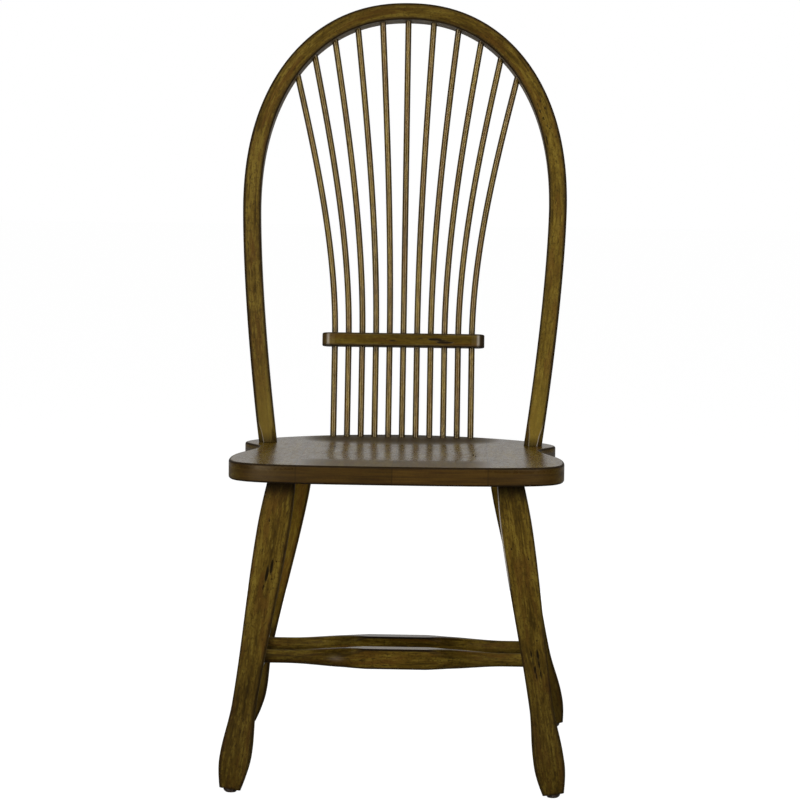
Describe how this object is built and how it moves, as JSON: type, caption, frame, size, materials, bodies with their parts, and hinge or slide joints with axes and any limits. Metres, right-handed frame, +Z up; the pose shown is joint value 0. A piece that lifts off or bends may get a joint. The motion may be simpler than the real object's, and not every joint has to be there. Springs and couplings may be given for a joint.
{
  "type": "sheaf back dining chair",
  "caption": "Wooden dining chair with a bent hoop back, a sheaf of flexed spindles gathered by a rail, a dished seat and splayed legs tied by stretchers.",
  "frame": {"origin": "on the floor, under the middle of the chair's box", "axes": "+Z up, +Y to the back, +X to the right seen from the front"},
  "size_m": [0.5096, 0.5188, 1.1178],
  "materials": {
    "seat_wood": "stained, satin lacquer, burnished edges",
    "bow_wood": "stained, satin lacquer, burnished edges",
    "rail_wood": "stained, satin lacquer, burnished edges",
    "spindle_wood": "stained, satin lacquer, burnished edges",
    "leg_wood": "stained, satin lacquer, burnished edges",
    "stretcher_wood": "stained, satin lacquer, burnished edges",
    "glide_plastic": "dull"
  },
  "bodies": {
    "root": {"back_rail": "rail_wood", "bow": "bow_wood", "cross_stretcher_front": "stretcher_wood", "cross_stretcher_rear": "stretcher_wood", "front_glide_left": "glide_plastic", "front_glide_right": "glide_plastic", "front_leg_left": "leg_wood", "front_leg_right": "leg_wood", "rear_glide_left": "glide_plastic", "rear_glide_right": "glide_plastic", "rear_leg_left": "leg_wood", "rear_leg_right": "leg_wood", "seat": "seat_wood", "side_stretcher_left": "stretcher_wood", "side_stretcher_right": "stretcher_wood", "spindle_01": "spindle_wood", "spindle_02": "spindle_wood", "spindle_03": "spindle_wood", "spindle_04": "spindle_wood", "spindle_05": "spindle_wood", "spindle_06": "spindle_wood", "spindle_07": "spindle_wood", "spindle_08": "spindle_wood", "spindle_09": "spindle_wood", "spindle_10": "spindle_wood", "spindle_11": "spindle_wood"}
  },
  "joints": []
}
